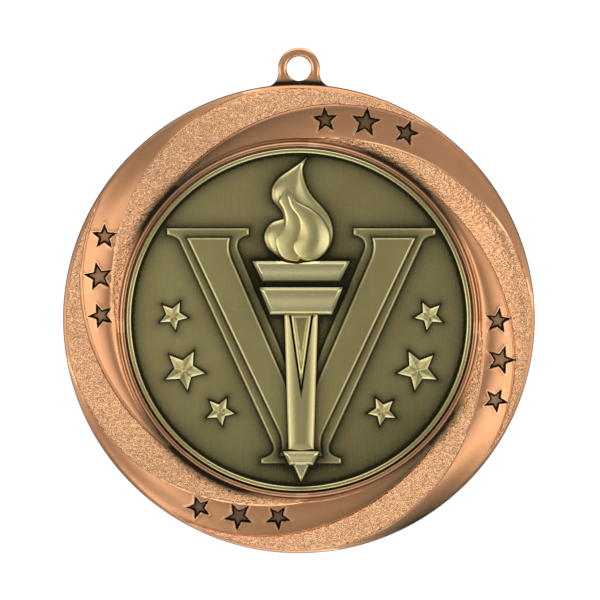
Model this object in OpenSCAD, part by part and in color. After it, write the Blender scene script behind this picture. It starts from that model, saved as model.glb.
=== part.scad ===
// Finisher medal: a swirl-rimmed frame casting with a hanger loop, and a relief insert bonded
// into its recess. The origin is the middle of the loop's bore. The face looks along -Y and
// +Z is up. Every relief is drawn flat, in x and z about the body's centre, and then built up
// to a height above the back of the medal.

/* [Body] */
// Diameter of the body, without the hanger loop
body_d = 70; // [69.5:0.5:76]
// Height of the swirl's crests above the back
body_t = 4.6; // [4.4:0.1:6]
// Height of the outer edge above the back
edge_t = 3.4; // [3:0.1:3.6]
// Width and depth of the chamfers around the body
edge_chamfer = 0.4; // [0.2:0.1:0.6]
// Height of the recess floor above the back
floor_t = 1.1; // [0.9:0.1:1.3]

/* [Hanger loop] */
// Radius of the bore, which takes the ribbon's ring
loop_bore_r = 1.8; // [1.5:0.1:2]
// Radius of the outside of the loop
loop_r = 3.1; // [2.9:0.1:3.4]
// Thickness of the loop
loop_t = 2.2; // [1.8:0.1:2.4]
// Gap between the body's outline and the bore's axis
loop_rise = 2.3; // [2.2:0.1:2.8]

/* [Swirl] */
// Number of textured bands, and of plain bands between them
bands = 4; // [3:1:5]
// Share of the circle that the textured bands take
textured_share = 0.52; // [0.45:0.01:0.6]
// Angle that each band's edge turns through from the lip to the outer edge
swirl_turn = 80; // [70:1:90]
// Height of the textured bands above the back
textured_t = 4.1; // [3.9:0.1:4.3]
// Width of the plain crest along each textured band
crest_w = 0.45; // [0.3:0.05:0.6]

/* [Sunken stars] */
// Number of stars on each plain band
stars_per_band = 3; // [1:1:3]
// Radius of the middle star of a band
sunken_star_r = 2.15; // [1.6:0.05:2.2]
// Depth of the stars
sunken_star_depth = 0.5; // [0.3:0.1:0.7]

/* [Insert] */
// Diameter of the insert, a 2 inch disc
insert_d = 51.2; // [50.8:0.1:51.5]
// Thickness of the insert under its relief
insert_t = 0.9; // [0.8:0.1:1]
// Height of the insert's edge ring above its field
ring_h = 0.7; // [0.4:0.1:0.8]
// Gap around the insert
insert_gap = 0.3; // [0.2:0.05:0.4]
// Thickness of the adhesive pad
pad_t = 0.3; // [0.2:0.05:0.4]

/* [Relief heights above the insert's field] */
// Outline plate of the chevron
plate_h = 0.4; // [0.3:0.05:0.5]
// Raised panel of the chevron
panel_h = 0.75; // [0.6:0.05:0.9]
// Shaft of the torch
shaft_h = 1.25; // [1:0.05:1.4]
// Bowls and foot of the torch
bowl_h = 1.55; // [1.4:0.05:1.8]
// Lowest and highest flame
flame_h = 1.25; // [1:0.05:1.4]
flame_top_h = 1.75; // [1.5:0.05:1.9]
// Points of the raised stars
star_h = 1; // [0.6:0.05:1.2]

/* [Hidden] */
$fn = 96;
body_r = body_d / 2;
insert_r = insert_d / 2;
recess_r = insert_r + insert_gap;
lip_r = recess_r + 0.4;
lip_foot_r = recess_r + 1.1;
lip_t = 3.15;
valley_t = 2.7;
back_field_r = body_r - 2.4;
back_field_depth = 0.3;
swirl_in_r = lip_foot_r + 0.15;
swirl_out_r = body_r - edge_chamfer - 0.15;
swirl_ease = 0.25;
curve_steps = 20;
band_pitch = 360 / bands;
crest_phase = 39;
band_leads = [1.6, -2.4, -4, 0];
star_leads = [19.2, 11.8, 16.8, 11.5];
star_insets = [4.1, 4.4, 4.25, 4.7];
star_pitch = 11.1;
star_drift = 1.1;
star_lean = 10;
end_star_scale = 0.88;
star_waist = 0.4;
field_t = floor_t + pad_t + insert_t;
body_z = -(body_r + loop_rise);
loop_foot_t = 0.5;
back_y = loop_foot_t + loop_t / 2;
bite = 0.2;

// Upright: x stays, y becomes z, and height rises from the back towards the face.
module on_back() { translate([0, back_y, body_z]) rotate([90, 0, 0]) children(); }

// A flat outline raised from height a to height b.
module raised(points, a, b) {
    translate([0, 0, a]) linear_extrude(b - a) polygon(points);
}

module both_sides() {
    children();
    mirror([1, 0, 0]) children();
}

function mirrored(points) = [for (i = [len(points) - 1:-1:0]) [-points[i].x, points[i].y]];
function polar(r, angle) = [r * sin(angle), r * cos(angle)];

// Curve from p to q that leaves and arrives towards c, without its first point.
function bend(p, c, q, n = 6) =
    [for (i = [1:n]) let (t = i / n) p * (1 - t) ^ 2 + 2 * c * t * (1 - t) + q * t ^ 2];

// Smooth curve through all points, without its first point.
function through(p, n = 5) = [
    for (k = [0:len(p) - 2])
        let (a = p[max(k - 1, 0)], b = p[k], c = p[k + 1], d = p[min(k + 2, len(p) - 1)])
            for (i = [1:n])
                let (t = i / n)
                    (2 * b + (c - a) * t + (2 * a - 5 * b + 4 * c - d) * t ^ 2
                        + (3 * b - a - 3 * c + d) * t ^ 3) / 2
];

function star(r, turn) =
    [for (i = [0:9]) polar(i % 2 == 0 ? r : r * star_waist, turn + 36 * i)];

// Radius and angle of a swirl edge at share t of its way out.
function swirl_r(t) =
    swirl_in_r + (swirl_out_r - swirl_in_r) * (t - swirl_ease * sin(360 * t) / (2 * PI));
function swirl_edge(phase, inset = 0) = [
    for (i = [0:curve_steps])
        let (t = i / curve_steps)
            polar(swirl_r(t) - inset, phase + swirl_turn * (t - 0.5))
];
function arc(r, a, b) = [for (i = [0:curve_steps]) polar(r, a + (b - a) * i / curve_steps)];
function backwards(points) = [for (i = [len(points) - 1:-1:0]) points[i]];

// One textured band, from its crest to its far edge.
function band_outline(phase) =
    let (far = phase + band_pitch * textured_share)
        concat(
            swirl_edge(phase),
            arc(swirl_out_r, phase + swirl_turn / 2, far + swirl_turn / 2),
            backwards(swirl_edge(far)),
            arc(swirl_in_r, far - swirl_turn / 2, phase - swirl_turn / 2)
        );

module body_blank() {
    rotate_extrude() polygon([
        [0, back_field_depth],
        [back_field_r, back_field_depth],
        [back_field_r + back_field_depth, 0],
        [body_r - edge_chamfer, 0],
        [body_r, edge_chamfer],
        [body_r, edge_t - edge_chamfer],
        [body_r - edge_chamfer, edge_t],
        [lip_foot_r, valley_t],
        [lip_r, lip_t],
        [recess_r, lip_t],
        [recess_r, floor_t],
        [0, floor_t]
    ]);
}

module textured_band(phase) {
    raised(band_outline(phase), floor_t, textured_t);
    raised(
        concat(swirl_edge(phase, crest_w), backwards(swirl_edge(phase))),
        floor_t,
        body_t
    );
}

module sunken_stars(k) {
    middle = (stars_per_band - 1) / 2;
    for (i = [0:stars_per_band - 1]) {
        angle = star_leads[k % 4] + k * band_pitch + (i - middle) * star_pitch;
        r = body_r - star_insets[k % 4] + star_drift * (i - middle);
        size = i == middle ? sunken_star_r : sunken_star_r * end_star_scale;
        translate(polar(r, angle))
            raised(star(size, angle - star_lean), edge_t - 0.35 - sunken_star_depth, body_t + 1);
    }
}

module hanger_loop() {
    neck = bend([loop_r - 0.15, -1], [loop_r, -loop_rise], [loop_r + 1.3, -loop_rise - 0.3]);
    foot = [[loop_r + 1.3, -loop_rise - 2.5]];
    half = concat([[loop_r - 0.15, -1]], neck, foot);
    translate([0, -body_z, loop_foot_t])
        difference() {
            union() {
                cylinder(r = loop_r, h = loop_t);
                raised(concat(half, mirrored(half)), 0, loop_t);
            }
            translate([0, 0, -1]) cylinder(r = loop_bore_r, h = loop_t + 2);
        }
}

module frame_casting() {
    color("peru") on_back() {
        difference() {
            union() {
                body_blank();
                for (k = [0:bands - 1])
                    textured_band(crest_phase + band_leads[k % 4] + k * band_pitch);
            }
            for (k = [0:bands - 1]) sunken_stars(k);
        }
        hanger_loop();
    }
}

module adhesive_pad() {
    color("ivory") on_back()
        translate([0, 0, floor_t]) cylinder(r = insert_r - 1, h = pad_t);
}

module insert_blank() {
    translate([0, 0, floor_t + pad_t]) cylinder(r = insert_r, h = insert_t);
    translate([0, 0, floor_t + pad_t])
        rotate_extrude() polygon([
            [insert_r - 1.2, 0],
            [insert_r, 0],
            [insert_r, insert_t + ring_h - 0.15],
            [insert_r - 0.15, insert_t + ring_h],
            [insert_r - 0.5, insert_t + ring_h],
            [insert_r - 0.9, insert_t + 0.3],
            [insert_r - 1, insert_t]
        ]);
}

// A letterform of two open arms that meet at a small foot, in two steps.
module chevron() {
    plate = concat(
        [[0, -11.4], [9.4, 10.8]],
        bend([9.4, 10.8], [9.7, 12.1], [7.7, 12.76]),
        [[7.7, 13.83], [19.9, 13.83], [19.9, 12.76]],
        bend([19.9, 12.76], [18.6, 12.6], [18.05, 11.84]),
        [[4.27, -18.6]],
        bend([4.27, -18.6], [3.7, -20.1], [6, -20.67]),
        [[6, -21.5], [0, -21.5]]
    );
    panel = concat(
        [[0, -13.5], [10.5, 9.5], [10.4, 12.44], [17, 12.44], [3.2, -17]],
        bend([3.2, -17], [2.7, -18.5], [3.2, -20.3]),
        [[0, -20.3]]
    );
    both_sides() {
        raised(plate, field_t - bite, field_t + plate_h);
        raised(panel, field_t, field_t + panel_h);
    }
}

// A bowl of the torch, wider at the top.
module bowl(top, bottom, top_w, bottom_w, h) {
    raised(
        [[-top_w, top], [top_w, top], [bottom_w, bottom], [-bottom_w, bottom]],
        field_t - bite,
        field_t + h
    );
}

module torch() {
    bowl(9.05, 5.75, 7.27, 5.7, bowl_h);
    bowl(5.18, 0.97, 6.24, 4.62, bowl_h);
    bowl(5.9, 5, 5.4, 5.4, plate_h);
    difference() {
        bowl(1.1, -19.6, 2.52, 1.94, shaft_h);
        raised([[-1.83, 0.8], [1.83, 0.8], [0, -11.3]], field_t + plate_h, field_t + 2);
    }
    raised([[-1.5, 1.1], [1.5, 1.1], [0, -9.4]], field_t, field_t + shaft_h - 0.2);
    bowl(-19.4, -20.16, 2.79, 2.79, bowl_h);
    bowl(-20.1, -21.6, 2.6, 1.85, shaft_h);
    bowl(-21.5, -24.3, 1.31, 0.05, shaft_h - 0.2);
}

module flame() {
    whole = concat(
        through([[0.8, 24.3], [-0.5, 23.2], [-3.2, 21.4], [-4.4, 19.2], [-3.7, 17.2], [-2.7, 15.5]]),
        through([
            [-2.7, 15.5], [-5, 14], [-5.4, 11.7], [-3.7, 9.5], [-0.6, 8.6], [3.2, 9.7], [4.7, 12.4],
            [4.2, 15.5], [2, 18.2], [0.5, 21], [0.15, 23.1], [0.8, 24.3]
        ])
    );
    front = concat(
        through([
            [-1.5, 18.5], [1.3, 17], [3.5, 14.7], [4.2, 12.2], [2.6, 9.6], [0.4, 8.9], [-1.1, 10.9],
            [-0.4, 13], [-0.5, 15.5], [-1.5, 18.5]
        ])
    );
    raised(whole, field_t - bite, field_t + flame_h);
    raised(front, field_t, field_t + flame_top_h);
}

// A star that rises to one point, with a ridge along each arm.
module raised_star(x, z, r, turn) {
    foot = star(r, turn);
    points = concat(
        [for (p = foot) [p.x, p.y, -bite]],
        [for (p = foot) [p.x, p.y, star_h / 4]],
        [[0, 0, star_h]]
    );
    walls = [for (i = [0:9]) [i, (i + 1) % 10, (i + 1) % 10 + 10, i + 10]];
    facets = [for (i = [0:9]) [i + 10, (i + 1) % 10 + 10, 20]];
    translate([x, z, field_t])
        polyhedron(points, concat([[for (i = [9:-1:0]) i]], walls, facets));
}

module raised_stars() {
    both_sides() {
        raised_star(19, 0.8, 2.38, 45);
        raised_star(17.4, -7.35, 3.3, 45);
        raised_star(12.1, -13.55, 2.38, 45);
    }
}

module insert_casting() {
    color("darkkhaki") on_back() {
        insert_blank();
        chevron();
        torch();
        flame();
        raised_stars();
    }
}

frame_casting();
insert_casting();
adhesive_pad();
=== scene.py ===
"""The looks of the finisher medal: its bronze frame, its antique gold insert and the pad between them.

Shapes are drawn on the medal's face in millimetres: x to the right and z up from the middle of the
body, and h, the height above the medal's back. Solid.build() turns them into the frame's metres.
"""
import math
from collections import namedtuple

import bmesh
import bpy
import numpy as np
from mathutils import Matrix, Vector
from mathutils.geometry import delaunay_2d_cdt


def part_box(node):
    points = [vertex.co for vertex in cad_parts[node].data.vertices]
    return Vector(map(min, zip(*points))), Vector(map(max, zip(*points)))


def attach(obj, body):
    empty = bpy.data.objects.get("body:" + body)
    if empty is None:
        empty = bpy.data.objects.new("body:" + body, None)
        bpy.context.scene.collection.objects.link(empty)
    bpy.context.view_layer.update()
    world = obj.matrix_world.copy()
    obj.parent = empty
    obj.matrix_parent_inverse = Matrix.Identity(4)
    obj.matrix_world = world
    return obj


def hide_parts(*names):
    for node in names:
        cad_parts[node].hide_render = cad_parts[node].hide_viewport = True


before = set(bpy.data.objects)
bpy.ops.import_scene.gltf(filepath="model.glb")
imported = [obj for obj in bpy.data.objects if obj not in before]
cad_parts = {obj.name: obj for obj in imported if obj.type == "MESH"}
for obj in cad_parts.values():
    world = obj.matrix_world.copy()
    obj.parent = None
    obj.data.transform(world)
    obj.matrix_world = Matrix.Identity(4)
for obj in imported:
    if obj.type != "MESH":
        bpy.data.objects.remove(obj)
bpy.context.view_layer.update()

MM = 0.001
frame_low, frame_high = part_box("frame_casting")
insert_low, insert_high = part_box("insert_casting")
pad_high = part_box("adhesive_pad")[1]
BODY_R = (frame_high.x - frame_low.x) / 2 / MM
BODY_Z = frame_low.z / MM + BODY_R
BACK_Y = frame_high.y / MM
INSERT_R = (insert_high.x - insert_low.x) / 2 / MM
INSERT_BACK = BACK_Y - insert_high.y / MM
LOOP_RISE = -BODY_Z - BODY_R

# Frame casting: radii and heights. A table pairs a distance with a height there.
RECESS_R = INSERT_R + 0.3
RECESS_FLOOR = BACK_Y - pad_high.y / MM
LIP = [
    (0, 2.82), (0.1, 2.93), (0.3, 3.07), (0.42, 3.17), (0.5, 3.21), (0.58, 3.17), (0.68, 2.98),
    (0.78, 2.84), (0.92, 2.78),
]
# Distances past the lip's inner edge.
LIP_SLOPE, LIP_CREST, LIP_FOOT = 0.3, 0.5, 0.8
VALLEY_H = 2.78
RIM_IN, RIM_OUT = 27.05, 34.6
FALL_IN, FALL_OUT = 26.82, 27.3
TEXTURED_FALL = 1.2
EDGE_DROP = [(34.35, 0), (34.5, 0.02), (34.65, 0.08), (34.78, 0.17), (34.88, 0.28), (34.96, 0.42), (35, 0.55)]
BACK_FIELD_H = 0.3
BACK_STEP_IN, BACK_STEP_OUT = 32.55, 32.95
BACK_ROLL_H = 0.4
BACK_ROLL_R = 34.55

# Loop: a flat ring on a foot that runs into the body.
LOOP_R = 3.1
LOOP_BORE_R = 1.8
LOOP_FACE_H, LOOP_BACK_H = 2.7, 0.5
LOOP_ROLL_H = 0.384
LOOP_FOOT_X = LOOP_R + 1.3
LOOP_FOOT_DEPTH = 1.6

# Swirl: four textured bands, each from its crest to its far edge, with plain bands between them.
SWIRL_IN, SWIRL_OUT = 27.2, 34.6
SWIRL_TURN = 80
SWIRL_EASE = 0.25
CRESTS = np.array([42.8, 130.4, 217.1, 306.3])
FAR_EDGES = np.array([87, 173.4, 265.6, 358])
CREST_H = [3.1, 3.68, 4.05, 4.27, 4.35, 4.15, 3.6]
FAR_TOP_H = [2.88, 2.96, 3.08, 3.18, 3.29, 3.4, 3.44]
FAR_FOOT_H = [2.8, 2.82, 2.9, 3.0, 3.12, 3.26, 3.4]
CREST_STRIP = 0.3
CHAMFER_H = 0.14
BAND_CROWN = 0.12
STEP_W = 0.45
SOFT_STEP = 0.55
TEXTURE_H = 0.1

# Sunken stars: angle and radius of each plain band's middle star, and its lean.
STAR_GROUPS = [(18.45, 31.05, -11), (100.9, 30.5, -10.5), (197.1, 30.65, -10), (282.7, 30.35, -4.5)]
STAR_PITCH = 11.05
STAR_DRIFT = 1.0
STAR_SIZES = [2.02, 2.3, 2.0]
STAR_WAIST = 0.42
STAR_DEPTH = 0.5
STAR_WALL_W = 0.3
STAR_BURR = 0.03

# Patina placed around the rim. A spot is its clock angle, its radius and its reach.
# Star floors: those at the medal's left and right get less patina, painted lighter where the side light
# falls.
STAR_FLOOR, STAR_FLOOR_LIT_AT_SIDE = 0.74, 0.58
DULL_SPOTS = [(322, 31, 11), (217, 31, 11)]
DULL = 0.12
# SMOOTH_SPOT halves the texture at the upper right, with its dark pits and bright peaks, which paints the
# more even light there.
SMOOTH_SPOT = (62, 30, 11)
# Spots of painted shade on the plain bands' outer edge: strength, clock angle and reach.
EDGE_SHADE_SPOTS = [(0.9, 150, 12), (0.5, 332, 13)]
EDGE_SHADE_W = 3.6

# Insert: the field and its edge ring.
FIELD_H = 2.3
FIELD_R = 24.7
FIELD_WAVE_H = 0.015
RING = [
    (24.84, 0), (24.88, 0.34), (24.94, 0.5), (25, 0.58), (25.07, 0.61), (25.14, 0.57), (25.2, 0.5),
    (25.38, 0.5), (25.44, 0.57), (25.5, 0.61), (25.56, 0.57), (25.6, 0.48),
]
RING_IN = 24.82
RING_GROOVE = 25.29
RING_CRESTS = (25.05, 25.52)
RELIEF_X = 0.33

# Top edges: distance in from the outline, and how far the surface there lies below the top.
WALL_W = 0.06
CRISP = [(0, 0.15), (0.06, 0.13), (0.26, 0.02), (0.32, 0)]
BEVEL = [(0, 0.3), (0.06, 0.28), (0.44, 0.03), (0.52, 0)]
ROLLED = [(0, 0.38), (0.06, 0.33), (0.2, 0.2), (0.4, 0.1), (0.65, 0.03), (0.9, 0)]
FOLDED = [(0, 0.12), (0.06, 0.1), (0.2, 0.03), (0.35, 0)]
KNIFE = [(0, 0), (0.1, 0)]

# Mesh: points around each circle, where the meshes' lines run, and where loose points fill them.
EDGE_COUNT, LIP_COUNT, BACK_COUNT = 720, 540, 360
FALL_RADII = [26.88, 26.95, 27.02, 27.1, 27.2, 27.35, 27.6]
CREST_SHIFTS = [-0.3, -0.02, 0, 0.02, CREST_STRIP - 0.1, CREST_STRIP, CREST_STRIP + 0.1]
STEP_SHIFTS = [-STEP_W - 0.1, -STEP_W, -STEP_W * 0.75, -STEP_W / 2, -STEP_W / 4, 0, 0.12, 0.3]
STAR_INSETS = [-0.28, -0.16, -0.08, 0, 0.08, 0.15, 0.22, 0.3]
BACK_RADII = [34.85, 34.7, 34.55, 33.1, 32.95, 32.85, 32.75, 32.65, 32.55, 32.3, 32, 31.7, 31.35, 31]
FILL_IN, FILL_OUT = RECESS_R + 1.5, 34.2
BACK_FILL_R = 30.3
FIELD_GAP = 0.45


# ---------------------------------------------------------------- curves on the drawing plane

def polar(radius, clock):
    """Points at a radius and a clockwise angle from the top, in degrees."""
    angle = np.radians(clock)
    return np.stack([radius * np.sin(angle), radius * np.cos(angle)], axis=-1)


def circle(radius, count):
    return polar(radius, -np.arange(count) * 360 / count)


def bend(p, c, q, steps=8):
    """Curve from p to q that leaves and arrives towards c, without its first point."""
    p, c, q = np.array(p), np.array(c), np.array(q)
    return [p * (1 - t) ** 2 + 2 * c * t * (1 - t) + q * t ** 2 for t in np.arange(1, steps + 1) / steps]


def glide(values, share):
    """Smooth curve through equally spaced values, at shares from 0 to 1."""
    values = np.asarray(values, float)
    first, last = 2 * values[:1] - values[1:2], 2 * values[-1:] - values[-2:-1]
    p = np.concatenate([first, values, last])
    spans = len(values) - 1
    k = np.clip((share * spans).astype(int), 0, spans - 1)
    f = share * spans - k
    if values.ndim > 1:
        f = f[:, None]
    a, b, c, d = p[k], p[k + 1], p[k + 2], p[k + 3]
    return (2 * b + (c - a) * f + (2 * a - 5 * b + 4 * c - d) * f ** 2 + (3 * b - a - 3 * c + d) * f ** 3) / 2


def through(points, steps=6):
    """Smooth open curve through all points."""
    return list(glide(points, np.linspace(0, 1, (len(points) - 1) * steps + 1)))


def counterclockwise(outline):
    outline = np.array(outline, float)
    x, z = outline.T
    area = np.sum(x * np.roll(z, -1) - z * np.roll(x, -1))
    return outline if area > 0 else outline[::-1]


def symmetric(half):
    """Closed outline from its right half, which starts and ends on the middle line."""
    half = np.array(half, float)
    left = half[::-1] * [-1, 1]
    return counterclockwise(np.concatenate([half, left[1:-1]]))


def star_corners(radius, turn, waist):
    """A star's tips and inner corners in turn, clockwise from its first tip."""
    radii = np.where(np.arange(10) % 2 == 0, radius, radius * waist)
    return polar(radii, turn + 36 * np.arange(10))


def star(radius, turn, waist=STAR_WAIST):
    return counterclockwise(star_corners(radius, turn, waist))


def spaced(line, gap, closed=True):
    """The same line with points added so that none lie further apart than gap."""
    ends = np.roll(line, -1, axis=0) if closed else line[1:]
    parts = []
    for a, b in zip(line, ends):
        count = max(1, math.ceil(np.hypot(*(b - a)) / gap))
        parts.append(a + (b - a) * np.arange(count)[:, None] / count)
    if not closed:
        parts.append(line[-1:])
    return np.concatenate(parts)


def offset(outline, inset):
    """A closed outline moved inwards, or outwards where inset is negative."""
    along = np.roll(outline, -1, axis=0) - outline
    along /= np.hypot(*along.T)[:, None]
    inward = np.stack([-along[:, 1], along[:, 0]], axis=-1)
    points = []
    for i, corner in enumerate(outline):
        before, after = inward[i - 1], inward[i]
        turn = math.atan2(before[0] * after[1] - before[1] * after[0], before @ after)
        if turn * inset >= 0 or abs(turn) < 0.1:
            points.append(corner + inset * (before + after) / (1 + before @ after))
            continue
        steps = max(1, math.ceil(abs(turn) / 0.4))
        for angle in turn * np.arange(steps + 1) / steps:
            c, s = math.cos(angle), math.sin(angle)
            arm = np.array([before[0] * c - before[1] * s, before[0] * s + before[1] * c])
            points.append(corner + inset * arm)
    return np.array(points)


def depth_inside(outline, points):
    """Distance of each point to a closed outline, positive inside it."""
    nearest = np.full(len(points), np.inf)
    inside = np.zeros(len(points), bool)
    for a, b in zip(outline, np.roll(outline, -1, axis=0)):
        edge, rel = b - a, points - a
        share = np.clip(rel @ edge / (edge @ edge), 0, 1)
        nearest = np.minimum(nearest, ((rel - share[:, None] * edge) ** 2).sum(axis=1))
        if edge[1] != 0:
            spans = (a[1] > points[:, 1]) != (b[1] > points[:, 1])
            inside ^= spans & (rel[:, 0] < rel[:, 1] / edge[1] * edge[0])
    return np.where(inside, 1, -1) * np.sqrt(nearest)


def smoothstep(x, low, high):
    t = np.clip((x - low) / (high - low), 0, 1)
    return t * t * (3 - 2 * t)


def hump(x, middle, width):
    """Bell curve of height 1 around a middle."""
    return np.exp(-((x - middle) / width) ** 2)


def profile(x, table):
    return np.interp(x, [p[0] for p in table], [p[1] for p in table])


def noise(x, z, seed):
    """Smooth noise between about -1 and 1, with one bump for each unit of x and z."""
    turns = np.random.default_rng(seed).random((256, 256)) * 2 * np.pi
    x0, z0 = np.floor(x).astype(int), np.floor(z).astype(int)
    fx, fz = x - x0, z - z0

    def corner(i, j):
        angle = turns[(x0 + i) % 256, (z0 + j) % 256]
        return np.cos(angle) * (fx - i) + np.sin(angle) * (fz - j)

    u, v = smoothstep(fx, 0, 1), smoothstep(fz, 0, 1)
    low = corner(0, 0) * (1 - u) + corner(1, 0) * u
    high = corner(0, 1) * (1 - u) + corner(1, 1) * u
    return 1.5 * (low * (1 - v) + high * v)


# ---------------------------------------------------------------- meshes woven from plans

class Plan:
    """Points and lines on the drawing plane that one sheet of a mesh is woven from."""

    def __init__(self, *borders):
        self.points, self.edges, self.count = [], [], 0
        self.borders = [self.line(border) for border in borders]

    def line(self, points, closed=True, keep=None):
        """Adds a line. Where keep is given, only those of its points stay, and its ends stay loose."""
        keep = np.ones(len(points), bool) if keep is None else keep
        index = self.count + np.cumsum(keep) - 1
        follow = np.roll(np.arange(len(points)), -1)
        joined = keep & keep[follow]
        if not closed:
            joined[-1] = False
        self.edges += list(zip(index[joined].tolist(), index[follow][joined].tolist()))
        self.points.append(points[keep])
        first = self.count
        self.count += int(keep.sum())
        return np.arange(first, self.count)

    def scatter(self, points):
        self.points.append(points)
        self.count += len(points)

    def weave(self):
        """Points, triangles and the borders' points in order. Triangles inside a hole are left out."""
        given = np.concatenate(self.points)
        woven = delaunay_2d_cdt([Vector(p) for p in given], self.edges, [], 0, 1e-7)
        points = np.array([v[:] for v in woven[0]])
        faces = np.array([f[:] for f in woven[2]])
        place_of = np.zeros(self.count, int)
        for i, sources in enumerate(woven[3]):
            place_of[sources] = i
        borders = [place_of[b] for b in self.borders]
        for hole in borders[1:]:
            on_hole = np.zeros(len(points), bool)
            on_hole[hole] = True
            faces = faces[~on_hole[faces].all(axis=1)]
        middle = points[faces].mean(axis=1)
        outer = points[borders[0]]
        if np.ptp(np.hypot(*outer.T)) > 0.01:
            faces = faces[depth_inside(outer, middle) > 0]
        return points, faces, borders


def grid(low, high, gap_x, gap_z):
    """Points in staggered rows over a box."""
    rows = np.arange(low[1], high[1], gap_z)
    columns = np.arange(low[0], high[0], gap_x)
    x, z = np.meshgrid(columns, rows)
    x = x + (np.arange(len(rows)) % 2)[:, None] * gap_x / 2
    return np.stack([x.ravel(), z.ravel()], axis=-1)


class Solid:
    """A closed mesh, built from sheets that face the front or the back and walls between them."""

    MARKS = ("patina", "wear_and_highlight", "grain")

    def __init__(self):
        self.corners, self.faces, self.count = [], [], 0
        self.marks = {name: [] for name in self.MARKS}

    def sheet(self, plan, surface):
        """Adds a sheet. surface gives the heights and the marks at its points. Returns its borders."""
        points, faces, borders = plan.weave()
        height, marks = surface(points)
        self.corners.append(np.column_stack([points, height]))
        for name in self.MARKS:
            self.marks[name].append(np.broadcast_to(marks.get(name, 0.0), len(points)))
        self.faces += (faces + self.count).tolist()
        borders = [b + self.count for b in borders]
        self.count += len(points)
        return borders

    def wall(self, a, b):
        """Joins two borders that have the same points."""
        a2, b2 = np.roll(a, -1), np.roll(b, -1)
        self.faces += np.stack([a, a2, b2, b], axis=-1).tolist()

    def build(self, name):
        x, z, h = np.concatenate(self.corners).T
        mesh = bpy.data.meshes.new(name)
        corners = np.column_stack([x * MM, (BACK_Y - h) * MM, (z + BODY_Z) * MM])
        mesh.from_pydata(corners.tolist(), [], self.faces)
        for mark, parts in self.marks.items():
            layer = mesh.attributes.new(mark, "FLOAT", "POINT")
            layer.data.foreach_set("value", np.concatenate(parts).astype(np.float32))
        tidy = bmesh.new()
        tidy.from_mesh(mesh)
        bmesh.ops.recalc_face_normals(tidy, faces=tidy.faces)
        tidy.to_mesh(mesh)
        tidy.free()
        mesh.shade_smooth()
        mesh.set_sharp_from_angle(angle=math.radians(32))
        piece = bpy.data.objects.new(name, mesh)
        bpy.context.scene.collection.objects.link(piece)
        return piece


def flat(height, **marks):
    return lambda points: (np.full(len(points), float(height)), marks)


# ---------------------------------------------------------------- frame casting

SwirlPlace = namedtuple("SwirlPlace", "radius textured across past_crest past_far")


def swirl_radius(share):
    """The radius of a swirl line at a share of its way out, eased at both ends."""
    return SWIRL_IN + (SWIRL_OUT - SWIRL_IN) * (share - SWIRL_EASE / (2 * np.pi) * np.sin(2 * np.pi * share))


def swirl_share(radius):
    """How far along its way out a swirl line is, at this radius."""
    share = np.linspace(0, 1, 201)
    return np.interp(radius, swirl_radius(share), share)


def swirl_line(phase, shift, steps=150):
    """A crest or far edge, moved by shift millimetres clockwise across its own direction."""
    share = np.linspace(0, 1, steps)
    radius = swirl_radius(share)
    return polar(radius, phase + shift / swirl_scale(radius) + SWIRL_TURN * (share - 0.5))


def swirl_scale(radius):
    """Millimetres across a swirl line for each degree that it is turned."""
    t = swirl_share(radius)
    climb = (SWIRL_OUT - SWIRL_IN) / SWIRL_TURN * (1 - SWIRL_EASE * np.cos(2 * np.pi * t))
    return climb / np.hypot(1, climb / np.radians(radius))


def swirl_place(points):
    """Where each point lies on the swirl: its radius, whether its band is textured or plain, the share
    across that band, and its distances past the nearest crest and far edge."""
    radius = np.hypot(*points.T)
    clock = np.degrees(np.arctan2(points[:, 0], points[:, 1]))
    unwound = clock - SWIRL_TURN * (swirl_share(radius) - 0.5)
    past = (unwound[:, None] - CRESTS) % 360
    band = past.argmin(axis=1)
    past = past.min(axis=1)
    width = (FAR_EDGES - CRESTS)[band]
    plain_width = (np.roll(CRESTS, -1) - FAR_EDGES)[band] % 360
    textured = past < width
    across = np.where(textured, past / width, (past - width) / plain_width)
    scale = swirl_scale(radius)
    to_next = width + plain_width - past
    past_crest = np.where(past < to_next, past, -to_next) * scale
    past_far = (past - width) * scale
    return SwirlPlace(radius, textured, across, past_crest, past_far)


def wrinkles(points):
    """Fine cast texture: short waves that lie across the medal, and finer grain towards its top."""
    x, z = points.T
    warp = noise(x / 1.4, z / 1.4, 3)
    waves = noise(x / 0.85 + 0.6 * warp, z / 0.36 + 1.2 * warp, 5)
    grains = noise(x / 0.42, z / 0.34, 7)
    top = smoothstep(z, 2, 26)
    return waves * (1 - 0.75 * top) + grains * (0.45 + 0.4 * top)


def around(points, clock, radius, reach):
    """A soft spot, 1 in its middle at the given clock angle and radius."""
    return np.exp(-np.sum((points - polar(radius, clock)) ** 2, axis=1) / reach ** 2)


def rim_share(radius):
    """How far out on the rim each radius lies, from 0 to 1."""
    return np.clip((radius - RIM_IN) / (RIM_OUT - RIM_IN), 0, 1)


def rim_grain(points, at, strip):
    """Where the cast texture is: on the textured bands, but not on their crests and edges."""
    grain = at.textured * (1 - strip) * smoothstep(-at.past_far, 0.08, 0.3)
    grain = grain * smoothstep(at.radius, 26.9, 27.4) * (1 - smoothstep(at.radius, 34.3, 34.5))
    # Halved at the upper right, so that the texture there looks evenly lit: painted light.
    return grain * (1 - 0.5 * around(points, *SMOOTH_SPOT))


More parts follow.
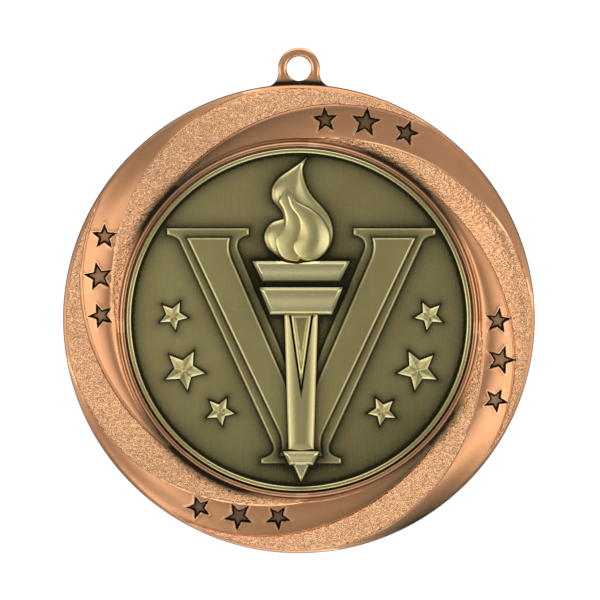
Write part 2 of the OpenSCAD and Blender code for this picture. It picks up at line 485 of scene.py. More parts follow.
def rim_height(at, strip, sideways, rough):
    """Heights of the lip and the swirl's bands, down to the rolled outer edge."""
    share = rim_share(at.radius)
    crest, far_top, far_foot = (glide(h, share) for h in (CREST_H, FAR_TOP_H, FAR_FOOT_H))
    far_foot = far_foot + SOFT_STEP * smoothstep(sideways, 0.6, 0.9) * (far_top - far_foot)

    plain_h = far_foot + (crest - far_foot) * at.across
    chamfer = CHAMFER_H * np.minimum(np.abs(at.past_crest) / CREST_STRIP, 1) * (1 - at.across)
    band_h = crest + (far_top - crest) * at.across + BAND_CROWN * np.sin(np.pi * at.across) - chamfer
    fall = smoothstep(at.radius, FALL_IN, FALL_OUT + TEXTURED_FALL * (1 - strip))
    band_h = VALLEY_H + (band_h - VALLEY_H) * fall
    plain_h = VALLEY_H + (plain_h - VALLEY_H) * smoothstep(at.radius, FALL_IN, FALL_OUT)
    textured_h = far_foot + (band_h - far_foot) * smoothstep(-at.past_far, 0, STEP_W)

    height = np.where(at.textured, textured_h, plain_h) + TEXTURE_H * rough
    height = np.where(at.radius < FALL_IN, profile(at.radius - RECESS_R, LIP), height)
    return height - profile(at.radius, EDGE_DROP)


def rim_patina(points, at, sideways, grain, rough):
    """Dark metal: patina on the lip's inner slope and at its foot and in the texture's pits; patina with
    painted shade in the valley around the lip and at the foot of each step, fading out at the left and
    right; painted shade on the rolled outer edge, along the lip's bottom and in the edge spots; and two
    darker spots on the textured bands."""
    past_lip = at.radius - RECESS_R
    deep = smoothstep(at.across, 0.1, 0.5) * at.textured
    deep = deep + 0.9 * (1 - smoothstep(at.across, 0.1, 0.8)) * ~at.textured
    # Painted shade: the valley's dark fades out at the left and right, and stays at the top and bottom.
    deep = deep * (1 - smoothstep(sideways, 0.84, 0.97))
    valley_patina_and_shade = deep * (1 - smoothstep(past_lip + 0.2 * rough, 0.8, 2.6)) * smoothstep(past_lip, 0.7, 0.9)
    # Patina with painted shade at the foot of each far edge, which fades out at the left and right.
    foot = np.exp(-np.maximum(at.past_far, 0) / 1.8) * ~at.textured * (1 - smoothstep(sideways, 0.6, 0.9))
    foot = foot * 0.95 * (1.02 - rim_share(at.radius)) * smoothstep(past_lip, 0.6, 0.9)
    patina = np.maximum.reduce([
        0.9 * hump(past_lip, LIP_FOOT, 0.12),
        0.85 * hump(past_lip, LIP_SLOPE, 0.08),
        1 - smoothstep(at.radius, RECESS_R, RECESS_R + 0.1),
        valley_patina_and_shade,
        foot,
        grain * 0.15 * smoothstep(-rough, 0.1, 0.8),
        # Painted shade on the rolled outer edge.
        smoothstep(at.radius, 34.8, 34.95),
    ])
    patina = patina + DULL * sum(around(points, *spot) for spot in DULL_SPOTS) * at.textured

    # Painted shade on the plain bands near the outer edge, in the edge spots.
    edge = 1 - smoothstep(BODY_R - at.radius, 0, EDGE_SHADE_W)
    for strength, clock, reach in EDGE_SHADE_SPOTS:
        patina = np.maximum(patina, strength * edge * around(points, clock, BODY_R, reach) * ~at.textured)
    # Painted shade along the bottom of the lip.
    lip_bottom_shade = smoothstep(-points[:, 1] / at.radius, 0.6, 0.95) * (past_lip < 0.9)
    return np.maximum(patina, 0.3 * lip_bottom_shade)


def rim_wear_and_highlight(at, strip, grain, rough):
    """Bright metal, partly wear and partly painted highlight: along the crests, the far edges and the lip,
    and on the texture's peaks.
    """
    return np.maximum.reduce([
        strip * (at.past_crest > -0.1) * at.textured,
        at.textured * hump(at.past_far, -STEP_W, 0.12),
        hump(at.radius - RECESS_R, LIP_CREST, 0.1),
        grain * smoothstep(rough, 0.1, 0.8) * 0.8,
    ])


def sink_star(outline, points, height, patina, wear_and_highlight):
    """Cuts one star into the rim, with a raised edge that is worn and carries a painted highlight, dark
    walls and a duller floor, which is painted lighter at the medal's left and right.
    """
    near = np.hypot(*(points - outline.mean(axis=0)).T) < 3.2
    depth = depth_inside(outline, points[near])
    height[near] -= STAR_DEPTH * smoothstep(depth, 0, STAR_WALL_W) - STAR_BURR * hump(depth, -0.1, 0.08)
    # Stars at the medal's left and right get a lighter floor: painted light from the sides.
    at_side = abs(outline[:, 0].mean()) > 25
    floor = STAR_FLOOR_LIT_AT_SIDE if at_side else STAR_FLOOR
    dark = floor + (1 - floor) * hump(np.maximum(depth - 0.1, 0), 0, 0.16)
    patina[near] = np.maximum(patina[near], np.where(depth > 0, dark, 0))
    wear_and_highlight[near] = np.maximum(wear_and_highlight[near] * (depth < 0), hump(depth, -0.09, 0.07))


def rim_surface(points):
    """Heights and marks of the frame's face, from the lip to the outer edge."""
    at = swirl_place(points)
    sideways = np.abs(points[:, 0]) / at.radius
    strip = 1 - smoothstep(at.past_crest, CREST_STRIP - 0.1, CREST_STRIP + 0.05)
    grain = rim_grain(points, at, strip)
    rough = wrinkles(points) * grain
    height = rim_height(at, strip, sideways, rough)
    patina = rim_patina(points, at, sideways, grain, rough)
    wear_and_highlight = rim_wear_and_highlight(at, strip, grain, rough)
    for outline in sunken_stars():
        sink_star(outline, points, height, patina, wear_and_highlight)
    return height, {"patina": patina, "wear_and_highlight": wear_and_highlight, "grain": grain}


def sunken_stars():
    outlines = []
    for clock, radius, lean in STAR_GROUPS:
        for i, size in enumerate(STAR_SIZES):
            angle = clock + (i - 1) * STAR_PITCH
            middle = polar(radius + (i - 1) * STAR_DRIFT, angle)
            outlines.append(star(size, angle + lean) + middle)
    return outlines


def swirl_fill(stars, gap_x, gap_z, textured, margin):
    """Points in staggered rows that fill the textured or the plain bands, clear of lines and stars."""
    points = grid((-BODY_R, -BODY_R), (BODY_R, BODY_R), gap_x, gap_z)
    radius = np.hypot(*points.T)
    points = points[(radius > FILL_IN) & (radius < FILL_OUT)]
    at = swirl_place(points)
    clear = (np.abs(at.past_far + 0.05) > margin) & (np.abs(at.past_crest - 0.1) > margin)
    points = points[(at.textured == textured) & clear]
    for outline in stars:
        near = np.hypot(*(points - outline.mean(axis=0)).T) < 3
        depth = depth_inside(outline, points)
        points = points[~near | (np.abs(depth) > 0.4)]
    return points


def rim_plan(border, hole):
    plan = Plan(border, hole)
    for radius in [RECESS_R + past_lip for past_lip, _ in LIP[1:]] + FALL_RADII:
        plan.line(circle(radius, LIP_COUNT))
    for radius, _ in EDGE_DROP[:-1]:
        plan.line(circle(radius, EDGE_COUNT))
    stars = sunken_stars()
    fences = [offset(outline, -0.45) for outline in stars]
    for phases, shifts in ((CRESTS, CREST_SHIFTS), (FAR_EDGES, STEP_SHIFTS)):
        for phase in phases:
            for shift in shifts:
                line = swirl_line(phase, shift)
                free = np.all([depth_inside(fence, line) < 0 for fence in fences], axis=0)
                plan.line(line, closed=False, keep=free)
    for outline in stars:
        for inset in STAR_INSETS:
            line = spaced(offset(outline, inset), 0.3)
            plan.line(line, keep=np.abs(depth_inside(outline, line) - inset) < 0.02)
    plan.scatter(swirl_fill(stars, 0.2, 0.125, True, 0.45))
    plan.scatter(swirl_fill(stars, 0.5, 0.43, False, 0.5))
    return plan


def back_surface(points):
    """The back: a raised border around a shallow field, with dark metal along the border's foot."""
    radius = np.hypot(*points.T)
    height = BACK_FIELD_H * (1 - smoothstep(radius, BACK_STEP_IN, BACK_STEP_OUT))
    height = height + BACK_ROLL_H * smoothstep(radius, BACK_ROLL_R, BODY_R) ** 2
    patina = 0.15 + 0.6 * hump(radius, BACK_STEP_IN - 0.05, 0.45)
    # Bright lines on the border's step and its rolled edge: wear and painted highlight.
    wear_and_highlight = hump(radius, BACK_STEP_OUT + 0.15, 0.2) + hump(radius, BACK_ROLL_R + 0.1, 0.2)
    return height, {"patina": patina, "wear_and_highlight": np.minimum(wear_and_highlight, 1), "grain": 0.0}


def back_plan(border):
    plan = Plan(border)
    for radius in BACK_RADII:
        plan.line(circle(radius, BACK_COUNT))
    points = grid((-BODY_R, -BODY_R), (BODY_R, BODY_R), 1.2, 1.04)
    plan.scatter(points[np.hypot(*points.T) < BACK_FILL_R])
    return plan


def loop_outline(bore=False):
    if bore:
        return circle(LOOP_BORE_R, 72) + [0, -BODY_Z]
    side = [polar(LOOP_R, a) for a in np.arange(0, 103, 6)]
    neck = bend(side[-1], (LOOP_R + 0.02, -LOOP_RISE + 0.25), (LOOP_FOOT_X, -LOOP_RISE - 0.3))
    foot_z = -LOOP_RISE - LOOP_FOOT_DEPTH
    foot = [(LOOP_FOOT_X, foot_z), (0, foot_z)]
    return symmetric(side + neck + foot) + [0, -BODY_Z]


def loop_surface(front):
    """Heights of the loop's face or back, with worn edges that carry a painted highlight, and dark metal
    where it leaves the rim: patina in the corner and painted shade at the rim's foot.
    """
    outer, bore = loop_outline(), loop_outline(bore=True)

    def surface(points):
        edge = np.minimum(depth_inside(outer, points), -depth_inside(bore, points))
        drop = LOOP_ROLL_H * (1 - smoothstep(edge, -0.25, 0.38))
        height = LOOP_FACE_H - drop if front else LOOP_BACK_H + drop
        radius = np.hypot(*points.T)
        # Dark strip where the loop leaves the rim: patina in the corner and painted shade at the rim's foot.
        patina = 0.95 * (1 - smoothstep(radius, BODY_R + 0.45, BODY_R + 0.95))
        patina = np.maximum(patina, 0.45 * (1 - smoothstep(edge, 0.0, 0.12)))
        wear_and_highlight = hump(edge, 0.22, 0.12) * (patina < 0.5)
        return height, {"patina": patina, "wear_and_highlight": wear_and_highlight, "grain": 0.0}

    return surface


def loop_plan():
    outer, bore = spaced(loop_outline(), 0.3), loop_outline(bore=True)
    plan = Plan(outer, bore)
    for inset in (0.06, 0.12, 0.2, 0.3, 0.4):
        line = spaced(offset(loop_outline(), inset), 0.3)
        plan.line(line, keep=np.abs(depth_inside(outer, line) - inset) < 0.02)
        plan.line((bore - [0, -BODY_Z]) * (1 + inset / LOOP_BORE_R) + [0, -BODY_Z])
    points = grid((-5, BODY_R - 2), (5, -BODY_Z + 4), 0.3, 0.26)
    keep = (depth_inside(outer, points) > 0.5) & (depth_inside(bore, points) < -0.5)
    plan.scatter(points[keep])
    return plan


def make_frame():
    solid = Solid()
    rim_border, rim_hole = circle(BODY_R, EDGE_COUNT), circle(RECESS_R, LIP_COUNT)
    rim, hole = solid.sheet(rim_plan(rim_border, rim_hole), rim_surface)
    back, = solid.sheet(back_plan(rim_border), back_surface)
    floor, = solid.sheet(Plan(rim_hole), flat(RECESS_FLOOR, patina=0.4))
    solid.wall(rim, back)
    solid.wall(hole, floor)
    front_edge, front_bore = solid.sheet(loop_plan(), loop_surface(True))
    back_edge, back_bore = solid.sheet(loop_plan(), loop_surface(False))
    solid.wall(front_edge, back_edge)
    solid.wall(front_bore, back_bore)
    return solid.build("frame_metal")


# ---------------------------------------------------------------- insert casting

class Feature:
    """A raised shape of the insert: its outline, its height and its top edge. halo is the reach and the
    strength of the dark metal around its foot, fill is the gap between its points, and shine
    is how much its whole top is lightened, as wear and as a painted highlight."""

    def __init__(self, outline, top, edge=CRISP, halo=(0.7, 0.75), fill=FIELD_GAP, shine=0):
        self.outline = np.asarray(outline) + [RELIEF_X, 0]
        self.top = top if callable(top) else lambda points, depth: np.full(len(points), float(top))
        self.edge, self.halo, self.fill, self.shine = edge, halo, fill, shine

    def near(self, points, margin):
        low, high = self.outline.min(axis=0) - margin, self.outline.max(axis=0) + margin
        return np.all((points > low) & (points < high), axis=1)

    def lift(self, points, height, patina, wear_and_highlight):
        """Raises the shape out of the ground below it, with dark metal around it and a worn edge that also
        carries a painted highlight.
        """
        near = self.near(points, 4)
        depth = depth_inside(self.outline, points[near])
        ground = height[near]
        target = FIELD_H + self.top(points[near], depth) - profile(depth, self.edge)
        height[near] = ground + (target - ground) * np.clip(depth / WALL_W, 0, 1)
        reach, strength = self.halo
        above = smoothstep(target - ground, -0.15, 0.15)
        outside = strength * above * np.exp(-np.maximum(-depth, 0) / reach)
        dark = 1 - (1 - patina[near]) * (1 - outside)
        patina[near] = np.where(depth < 0, dark, dark * (1 - smoothstep(depth, 0.02, 0.1)))
        wear_and_highlight[near] = np.where(depth < 0, wear_and_highlight[near], np.maximum(hump(depth, 0.17, 0.1), self.shine))


def chevron():
    plate = symmetric(
        [(0, -11.4), (9.35, 10.7)]
        + bend((9.35, 10.7), (9.75, 12.3), (7.7, 12.76))
        + [(7.7, 13.83), (19.9, 13.83), (19.9, 12.76)]
        + bend((19.9, 12.76), (18.6, 12.6), (18.05, 11.84))
        + [(4.27, -18.6)]
        + bend((4.27, -18.6), (3.7, -20.1), (6, -20.67))
        + [(6, -21.5), (0, -21.5)]
    )
    panel = symmetric(
        [(0, -14.7), (10.3, 9.4)]
        + bend((10.3, 9.4), (10.95, 11.1), (10.4, 12.44))
        + [(17, 12.44), (3.2, -17)]
        + bend((3.2, -17), (2.7, -18.5), (3.2, -20.3))
        + [(0, -20.3)]
    )
    return [
        Feature(plate, 0.42, halo=(1.0, 0.85)),
        Feature(panel, 0.8, halo=(0.8, 0.95)),
    ]


def trapezoid(top, bottom, top_w, bottom_w):
    return counterclockwise([(-top_w, top), (top_w, top), (bottom_w, bottom), (-bottom_w, bottom)])


def bowl(top, bottom, top_w, bottom_w, height, fall, **looks):
    """A cup or cap whose face leans forward at its top and rounds off towards its bottom."""
    def rise(points, depth):
        down = np.clip((top - points[:, 1]) / (top - bottom), 0, 1)
        return height - fall * down ** 2

    return Feature(trapezoid(top, bottom, top_w, bottom_w), rise, BEVEL, **looks)


def shaft_top(points, depth):
    """A face that slopes down to its edges."""
    return 1.45 - 0.2 * (1 - np.clip(depth / 1.5, 0, 1)) ** 2


def tongue_top(points, depth):
    """A face with a shallow hollow."""
    return 1.15 - 0.3 * smoothstep(depth, 0.12, 0.6)


def torch():
    shaft = symmetric([(0, 1.3), (2.55, 1.3), (1.94, -19.25), (0, -19.45)])
    slot = counterclockwise([(-1.83, 0.98), (1.83, 0.98), (0, -11.6)])
    tongue = counterclockwise([(-1.55, 0.99), (1.55, 0.99), (0, -10.2)])
    return [
        Feature(trapezoid(6.1, 4.8, 5.3, 5.4), 0.5, halo=(1.2, 0.9)),
        Feature(shaft, shaft_top, halo=(1.3, 0.85), fill=0.3, shine=0.3),
        Feature(slot, 0.35, halo=(0.01, 0)),
        Feature(tongue, tongue_top, halo=(0.3, 1), fill=0.2),
        bowl(9.05, 5.75, 7.27, 5.7, 1.9, 0.6, halo=(1.6, 0.9), fill=0.3, shine=0.8),
        bowl(5.18, 0.97, 6.24, 4.62, 1.95, 0.75, halo=(1.6, 0.9), fill=0.3, shine=0.7),
        Feature(trapezoid(-21.4, -24.25, 1.36, 0.03), 0.85, halo=(1.2, 0.8), fill=0.25, shine=0.6),
        bowl(-19.42, -21.65, 2.79, 1.8, 1.45, 0.35, halo=(1.2, 0.85), fill=0.25, shine=0.7),
    ]


def dome(outline, low, rise, width):
    """A face that swells from its outline to its middle, without a ridge along the middle."""
    nudges = polar(0.9, np.arange(0, 360, 45))

    def top(points, depth):
        soft = np.mean([depth_inside(outline, points - [RELIEF_X, 0] + nudge) for nudge in nudges], axis=0)
        return low + rise * np.sin(np.clip(soft / width, 0, 1) * np.pi / 2)

    return top


def whole_flame():
    left = through([
        (1.1, 24.55), (-0.3, 23.4), (-1.5, 22.6), (-3.2, 21.4), (-4.2, 20.1), (-4.4, 19.2),
        (-4.3, 18.1), (-3.7, 17.2), (-3.0, 16.4), (-2.65, 15.6), (-2.75, 15.2),
    ])
    lobe = through([
        (-2.75, 15.2), (-4.1, 14.8), (-5.0, 14.0), (-5.5, 12.8), (-5.4, 11.7), (-4.8, 10.5),
        (-3.7, 9.5), (-2.35, 8.85), (-0.6, 8.6),
    ])
    right = through([
        (-0.6, 8.6), (0.5, 8.8), (1.8, 9.0), (3.2, 9.7), (4.2, 10.9), (4.7, 12.4), (4.7, 13.85),
        (4.2, 15.5), (3.2, 16.9), (2.0, 18.2), (1.1, 19.5), (0.5, 21.0), (0.25, 22.4), (0.45, 23.3),
        (1.1, 24.55),
    ])
    return counterclockwise(left + lobe[1:] + right[1:-1])


def middle_flame():
    left = through([
        (-2.2, 19.6), (-3.3, 18.0), (-2.7, 16.6), (-2.35, 15.2), (-2.6, 13.9), (-3.6, 12.7),
        (-3.75, 11.6), (-3.4, 10.3), (-2.5, 9.25), (-0.6, 8.85),
    ])
    right = through([(-0.6, 8.85), (1.8, 10.5), (2.0, 14.0), (0.4, 16.5), (-0.9, 18.4), (-2.2, 19.6)])
    return counterclockwise(left + right[1:-1])


def front_flame():
    left = through([
        (-2.1, 19.1), (-1.75, 17.5), (-1.2, 16.4), (-0.5, 15.4), (-0.2, 14.0), (-0.5, 12.6),
        (-1.05, 11.8), (-1.2, 10.9), (-0.8, 9.9), (0.1, 9.15), (0.9, 8.98),
    ])
    right = through([
        (0.9, 8.98), (2.2, 9.2), (3.3, 9.95), (4.05, 11.1), (4.25, 12.3), (4.1, 13.5),
        (3.5, 14.75), (2.6, 15.8), (1.3, 16.8), (-0.5, 17.7), (-1.4, 18.4), (-2.1, 19.1),
    ])
    return counterclockwise(left + right[1:-1])


def flame():
    whole, middle, front = whole_flame(), middle_flame(), front_flame()
    return [
        Feature(whole, dome(whole, 0.75, 0.5, 3), ROLLED, halo=(1.5, 0.9), fill=0.2, shine=0.25),
        Feature(middle, dome(middle, 1.2, 0.3, 2.6), FOLDED, halo=(0.2, 0.7), fill=0.2, shine=0.25),
        Feature(front, dome(front, 1.35, 0.45, 3), FOLDED, halo=(0.25, 0.8), fill=0.2, shine=0.25),
    ]


class RaisedStar(Feature):
    """A star that rises to one point, with a ridge along each arm."""

    WAIST = 0.47
    FOOT_H = 0.45
    STEEPNESS = 0.25

    def __init__(self, middle, radius, turn):
        self.middle = np.array(middle) + [RELIEF_X, 0]
        self.radius, self.turn = radius, turn
        outline = star(radius, turn, self.WAIST) + middle
        super().__init__(outline, self.rise, KNIFE, halo=(0.55, 0.95), fill=0.5)

    def rise(self, points, depth):
        x, z = (points - self.middle).T
        reach = np.hypot(x, z)
        fold = np.radians(np.abs((np.degrees(np.arctan2(x, z)) - self.turn + 36) % 72 - 36))
        waist_x = self.radius * self.WAIST * math.cos(math.radians(36))
        waist_y = self.radius * self.WAIST * math.sin(math.radians(36))
        slope = reach * np.cos(fold) * waist_y + reach * np.sin(fold) * (self.radius - waist_x)
        climb = np.clip(1 - slope / (self.radius * waist_y), 0, 1)
        return self.FOOT_H + self.STEEPNESS * self.radius * climb

    def ridges(self):
        corners = star_corners(self.radius, self.turn, self.WAIST)
        return [self.middle + corner * np.linspace(0, 0.93, 12)[1:, None] for corner in corners]


def raised_stars():
    places = [((19.0, 0.8), 2.38, 45), ((17.4, -7.35), 3.3, 45), ((12.1, -13.55), 2.38, 45)]
    stars = [RaisedStar(middle, radius, turn) for middle, radius, turn in places]
    return stars + [RaisedStar((-x, z), radius, -turn) for (x, z), radius, turn in places]


RELIEF = chevron() + torch() + flame() + raised_stars()


def insert_ground(points):
    """Heights, patina with painted shade, and wear with painted highlights of the field and the edge ring,
    before the relief is raised.
    """
    radius = np.hypot(*points.T)
    x, z = points.T
    uneven = FIELD_WAVE_H * noise(x / 6, z / 6, 11) * (radius < 24)
    height = FIELD_H + profile(radius, RING) + uneven
    # An even patina, plus painted shade that darkens the field towards the right and the bottom.
    patina_and_shade_gradient = 0.15 + 0.2 * np.clip(x / 16, 0, 1) + 0.22 * smoothstep(-z, 4, 20)
    patina = patina_and_shade_gradient + (1 - patina_and_shade_gradient) * np.exp(-(np.maximum(FIELD_R - radius, 0) / 1.1) ** 0.8)
    on_ring = smoothstep(radius, RING_IN, RING_IN + 0.13)
    patina = patina * (1 - on_ring) + 0.2 * on_ring * hump(radius, RING_GROOVE, 0.08)
    # Bright lines on the ring's two crests: wear and painted highlight.
    wear_and_highlight = np.maximum(hump(radius, RING_CRESTS[0], 0.1), hump(radius, RING_CRESTS[1], 0.08))
    return height, patina, wear_and_highlight


def insert_surface(points):
    """Heights and marks of the insert's face, with each feature raised on the ones before it."""
    height, patina, wear_and_highlight = insert_ground(points)
    for feature in RELIEF:
        feature.lift(points, height, patina, wear_and_highlight)
    return height, {"patina": patina, "wear_and_highlight": wear_and_highlight, "grain": 0.0}


def feature_lines(plan, feature, above):
    """Adds the lines along a feature's foot, wall and top edge, where no feature above it covers them."""
    edge = [inset for inset, _ in feature.edge]
    for inset in [-0.35, -0.12, 0, WALL_W / 2] + edge[1:] + [edge[-1] + 0.1]:
        line = spaced(offset(feature.outline, inset), 0.35)
        keep = np.abs(depth_inside(feature.outline, line) - inset) < 0.015
        for other in above:
            keep &= depth_inside(other.outline, line) < 0.05
        keep &= np.hypot(*line.T) < FIELD_R - 0.05
        plan.line(line, keep=keep)


def relief_fill(gap):
    """Points in staggered rows, where the topmost feature, or the field, asks for this gap."""
    points = grid((-INSERT_R, -INSERT_R), (INSERT_R, INSERT_R), gap, gap * 0.866)
    points = points[np.hypot(*points.T) < FIELD_R - 0.2]
    wanted = np.full(len(points), FIELD_GAP)
    clear = np.ones(len(points), bool)
    for feature in RELIEF:
        near = feature.near(points, 1)
        depth = depth_inside(feature.outline, points[near])
        edge_w = feature.edge[-1][0]
        wanted[near] = np.where(depth > 0, feature.fill, wanted[near])
        clear[near] = np.where(depth > edge_w + 0.15, True, clear[near] & (depth < -0.4))
    return points[clear & (wanted == gap)]


def insert_plan(border):
    plan = Plan(border)
    for radius, _ in RING[:-1]:
        plan.line(circle(radius, EDGE_COUNT))
    plan.line(circle(FIELD_R, BACK_COUNT))
    for i, feature in enumerate(RELIEF):
        above = [other for other in RELIEF[i + 1:] if np.any(other.near(feature.outline, 0.5))]
        feature_lines(plan, feature, above)
        if isinstance(feature, RaisedStar):
            for ridge in feature.ridges():
                plan.line(ridge, closed=False)
            plan.scatter(feature.middle[None])
    for gap in sorted({feature.fill for feature in RELIEF}):
        plan.scatter(relief_fill(gap))
    return plan


def make_insert():
    solid = Solid()
    border = circle(INSERT_R, EDGE_COUNT)
    face, = solid.sheet(insert_plan(border), insert_surface)
    under, = solid.sheet(Plan(border), flat(INSERT_BACK, patina=0.4))
    solid.wall(face, under)
    return solid.build("insert_metal")


# ---------------------------------------------------------------- materials

class Shader:
    """A new material, with short ways to add and join its nodes."""

    def __init__(self, name):
        self.material = bpy.data.materials.new(name)
        self.material.use_nodes = True
        self.tree = self.material.node_tree
        self.tree.nodes.clear()
        self.surface = self.add("ShaderNodeBsdfPrincipled")
        output = self.add("ShaderNodeOutputMaterial")
        self.tree.links.new(self.surface.outputs[0], output.inputs["Surface"])

    def add(self, kind, **inputs):
        node = self.tree.nodes.new(kind)
        self.feed(node, **inputs)
        return node

    def feed(self, node, **inputs):
        """Sets or links a node's inputs, named by their labels with _ for spaces, or by i and a number."""
        for label, value in inputs.items():
            numbered = label[0] == "i" and label[1:].isdigit()
            socket = node.inputs[int(label[1:]) if numbered else label.replace("_", " ")]
            if isinstance(value, bpy.types.NodeSocket):
                self.tree.links.new(value, socket)
            else:
                socket.default_value = value

    def mark(self, name):
        node = self.add("ShaderNodeAttribute")
        node.attribute_name = name
        return node.outputs["Fac"]

    def math(self, operation, a, b):
        node = self.add("ShaderNodeMath", i0=a, i1=b)
        node.operation = operation
        return node.outputs[0]

    def mix(self, factor, a, b):
        node = self.add("ShaderNodeMix")
        node.data_type = "RGBA"
        self.feed(node, i0=factor, i6=a, i7=b)
        return node.outputs[2]

    def between(self, value, low, high, to_low, to_high):
        node = self.add("ShaderNodeMapRange", Value=value)
        self.feed(node, From_Min=low, From_Max=high, To_Min=to_low, To_Max=to_high)
        return node.outputs[0]

    def noise(self, size, detail, roughness=0.55):
        """Noise with features of the given size, in millimetres along x, y and z."""
        place = self.add("ShaderNodeTexCoord").outputs["Object"]
        scale = [1 / (s * MM) for s in size]
        mapping = self.add("ShaderNodeMapping", Vector=place, Scale=scale)
        node = self.add("ShaderNodeTexNoise", Vector=mapping.outputs[0], Scale=1.0)
        self.feed(node, Detail=detail, Roughness=roughness)
        return node.outputs[0]

    def bump(self, height, distance, normal=None):
        """The surface's normal, turned by a height that stands for this many millimetres."""
        node = self.add("ShaderNodeBump", Height=height, Distance=distance * MM, Strength=1.0)
        if normal is not None:
            self.feed(node, Normal=normal)
        return node.outputs[0]

    def lit(self, strength):
        """Makes the surface evenly lit paper that reflects nothing, and returns its material."""
        self.feed(self.surface, Base_Color=(0, 0, 0, 1), Roughness=1.0, Specular_IOR_Level=0.0)
        self.feed(self.surface, Emission_Color=(1, 1, 1, 1), Emission_Strength=strength)
        return self.material


def antiqued_metal(name, bright, body, tarnish, smoky, dark, roughness, streaks):
    """Plated metal with dark patina in its low places, which also carries painted shade, and bright,
    worn high edges, which also carry painted highlights.
    """
    s = Shader(name)
    patina, wear_and_highlight, grain = s.mark("patina"), s.mark("wear_and_highlight"), s.mark("grain")
    cloud = s.noise((7, 7, 7), 3)
    fine = s.noise((0.35, 0.35, 0.35), 4)
    brushed = s.noise(streaks, 3, 0.6)
    grains = s.noise((0.45, 0.4, 0.27), 1.5)

    base = s.mix(s.between(cloud, 0.35, 0.65, 0, 0.6), body, tarnish)
    # The texture's peaks are lightened, and all of the texture by nearly half as much: wear on the peaks, and
    # a painted sheen for the light that the rough texture scatters.
    peaks = s.math("MULTIPLY", grain, s.between(grains, 0.42, 0.58, 0.45, 1))
    wear_and_highlight = s.math("MAXIMUM", wear_and_highlight, peaks)
    base = s.mix(s.math("MULTIPLY", wear_and_highlight, 0.95), base, bright)

    pits = s.math("MULTIPLY", grain, s.between(grains, 0.46, 0.32, 0, 0.15))
    spread = s.math("ADD", s.math("ADD", patina, pits), s.between(fine, 0.3, 0.7, -0.04, 0.04))
    spread = s.math("ADD", spread, s.between(brushed, 0.3, 0.7, -0.04, 0.04))
    cover = s.between(spread, 0.04, 0.9, 0, 1)
    dark = s.mix(s.between(spread, 0.8, 0.96, 0, 1), smoky, dark)
    colour = s.mix(cover, base, dark)

    rough = s.between(fine, 0.3, 0.7, roughness - 0.01, roughness + 0.01)
    rough = s.math("ADD", rough, s.math("MULTIPLY", cover, 0.22))
    rough = s.math("SUBTRACT", rough, s.math("MULTIPLY", wear_and_highlight, 0.08))
    rough = s.math("SUBTRACT", rough, s.math("MULTIPLY", grain, 0.05))
    relief = s.bump(s.math("MULTIPLY", grains, grain), 0.26, s.bump(brushed, 0.005))
    s.feed(s.surface, Base_Color=colour, Roughness=rough, Metallic=1.0, Normal=relief)
    return s.material


def bronze():
    return antiqued_metal(
        "bronze_plate",
        bright=(0.97, 0.55, 0.29, 1),
        body=(0.8, 0.4, 0.205, 1),
        tarnish=(0.74, 0.35, 0.16, 1),
        smoky=(0.11, 0.09, 0.05, 1),
        dark=(0.03, 0.022, 0.011, 1),
        roughness=0.32,
        streaks=(7, 7, 0.1),
    )


def antique_gold():
    return antiqued_metal(
        "antique_gold_plate",
        bright=(0.94, 0.855, 0.45, 1),
        body=(0.52, 0.45, 0.19, 1),
        tarnish=(0.46, 0.37, 0.15, 1),
        smoky=(0.05, 0.045, 0.022, 1),
        dark=(0.03, 0.026, 0.013, 1),
        roughness=0.31,
        streaks=(0.12, 5, 6),
    )


def adhesive():
    """Ivory foam tape with open cells."""
    s = Shader("adhesive_tape")
    cells = s.noise((0.25, 0.25, 0.25), 4)
    cloud = s.noise((5, 5, 5), 2)
    colour = s.mix(s.between(cloud, 0.3, 0.7, 0, 1), (0.72, 0.68, 0.55, 1), (0.82, 0.79, 0.68, 1))
    colour = s.mix(s.between(cells, 0.55, 0.75, 0, 0.5), colour, (0.5, 0.46, 0.36, 1))
    rough = s.between(cells, 0.3, 0.7, 0.65, 0.85)
    s.feed(s.surface, Base_Color=colour, Roughness=rough, Normal=s.bump(cells, 0.05))
    return s.material


def shaded_card():
    """Grey card that is darkest a little below its middle, and darker towards its right."""
    s = Shader("grey_card")
    place = s.add("ShaderNodeTexCoord").outputs["Object"]
    x, _, z = s.add("ShaderNodeSeparateXYZ", Vector=place).outputs
    rise = s.between(z, 0.065, 0.245, 0, 0.14)
    level = s.math("ADD", rise, s.between(z, -0.1, -0.3, 0.26, 0.16))
    return s.lit(s.math("MULTIPLY", level, s.between(x, -0.1, 0.1, 1.7, 0.3)))


# ---------------------------------------------------------------- camera, light and floor

VIEW_WIDTH = 89.3
VIEW_ELEVATION = 6
VIEW_ABOVE_MIDDLE = 3
VIEW_RIGHT = 0.16
LENS = 150

# Light around the medal: its elevation in degrees and its colour.
SKY = [
    (-90, (1.25, 1.3, 1.4)),
    (-68, (1.1, 1.15, 1.25)),
    (-56, (0.45, 0.45, 0.45)),
    (-44, (0.2, 0.2, 0.2)),
    (-34, (0.3, 0.3, 0.3)),
    (-22, (0.85, 0.85, 0.85)),
    (-14, (1, 1, 1)),
    (1.2, (1, 1, 1)),
    (11, (0.33, 0.33, 0.33)),
    (38, (0.33, 0.33, 0.33)),
    (54, (1.25, 1.25, 1.25)),
]
SKY_STRENGTH = 1.15

# Floor and cards, in metres. Softboxes: the turn towards the right, how far the middle is below the
# medal's, and the height.
FLOOR_W = 6
FLOOR_DROP = 0.03
FLOOR_LEVEL = 1.05
CARD_AWAY = 1.0
GREY_CARD_W, GREY_CARD_H = 0.44, 0.6
GREY_CARD_DROP = 0.12
SOFTBOX_W = 0.38
SOFTBOX_LEVEL = 2.1
SOFTBOXES = [(-33, 0.3, 0.7), (-21, 0.62, 0.3), (32, 0.13, 0.6)]


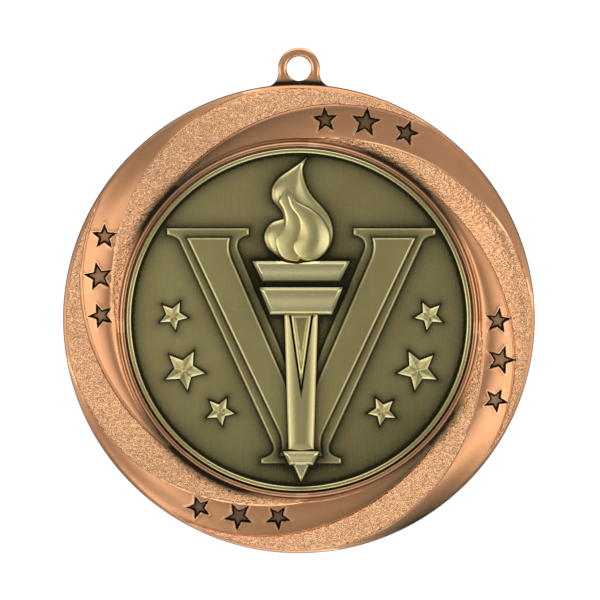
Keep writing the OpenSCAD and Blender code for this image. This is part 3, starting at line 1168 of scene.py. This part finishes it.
def make_camera():
    camera = bpy.data.objects.new("camera", bpy.data.cameras.new("camera"))
    camera.data.lens = LENS
    distance = VIEW_WIDTH * LENS / camera.data.sensor_width * MM
    target = Vector((VIEW_RIGHT, 0, BODY_Z + VIEW_ABOVE_MIDDLE)) * MM
    tilt = math.radians(VIEW_ELEVATION)
    camera.location = target + Vector((0, -math.cos(tilt), math.sin(tilt))) * distance
    camera.rotation_euler = (math.pi / 2 - tilt, 0, 0)
    bpy.context.scene.collection.objects.link(camera)
    bpy.context.scene.camera = camera


def make_card(name, width, height, middle, turn, material):
    """A flat card that faces along -Y before it is turned."""
    x, z = width / 2, height / 2
    mesh = bpy.data.meshes.new(name)
    mesh.from_pydata([(-x, 0, -z), (x, 0, -z), (x, 0, z), (-x, 0, z)], [], [(0, 1, 2, 3)])
    mesh.materials.append(material)
    card = bpy.data.objects.new(name, mesh)
    card.location = middle
    card.rotation_euler = turn
    bpy.context.scene.collection.objects.link(card)
    return card


def make_sky():
    """Light from all around, in bands of height."""
    world = bpy.data.worlds.new("studio")
    world.use_nodes = True
    tree = world.node_tree
    place = tree.nodes.new("ShaderNodeTexCoord").outputs["Generated"]
    split = tree.nodes.new("ShaderNodeSeparateXYZ")
    tree.links.new(place, split.inputs[0])
    height = tree.nodes.new("ShaderNodeMapRange")
    height.inputs["From Min"].default_value = -1
    tree.links.new(split.outputs["Z"], height.inputs["Value"])
    ramp = tree.nodes.new("ShaderNodeValToRGB")
    tree.links.new(height.outputs[0], ramp.inputs["Fac"])
    stops = ramp.color_ramp.elements
    for stop in SKY[1:-1]:
        stops.new(0.5)
    for stop, (rise, colour) in zip(stops, SKY):
        stop.position = (math.sin(math.radians(rise)) + 1) / 2
        stop.color = (*colour, 1)
    background = tree.nodes["Background"]
    tree.links.new(ramp.outputs["Color"], background.inputs["Color"])
    background.inputs["Strength"].default_value = SKY_STRENGTH
    bpy.context.scene.world = world


def make_studio():
    """The floor, and a grey card and softboxes that the camera doesn't see."""
    middle_z = BODY_Z * MM
    paper = Shader("pale_floor").lit(FLOOR_LEVEL)
    floor_middle = (0, 0, frame_low.z - FLOOR_DROP)
    floor = make_card("floor", FLOOR_W, FLOOR_W, floor_middle, (math.pi / 2, 0, 0), paper)
    floor.visible_glossy = False
    middle = (0, -CARD_AWAY, middle_z - GREY_CARD_DROP)
    card = make_card("grey_card", GREY_CARD_W, GREY_CARD_H, middle, (0, 0, 0), shaded_card())
    card.visible_camera = False
    softbox = Shader("softbox").lit(SOFTBOX_LEVEL)
    for turn, drop, height in SOFTBOXES:
        angle = math.radians(turn)
        middle = (CARD_AWAY * math.sin(angle), -CARD_AWAY * math.cos(angle), middle_z - drop)
        card = make_card("softbox", SOFTBOX_W, height, middle, (0, 0, angle), softbox)
        card.visible_camera = False
    bpy.context.scene.view_settings.view_transform = "Standard"


make_camera()
make_sky()
make_studio()

frame_metal = make_frame()
frame_metal.data.materials.append(bronze())
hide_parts("frame_casting")
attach(frame_metal, "root")

insert_metal = make_insert()
insert_metal.data.materials.append(antique_gold())
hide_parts("insert_casting")
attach(insert_metal, "root")

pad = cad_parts["adhesive_pad"]
pad.data.materials.clear()
pad.data.materials.append(adhesive())
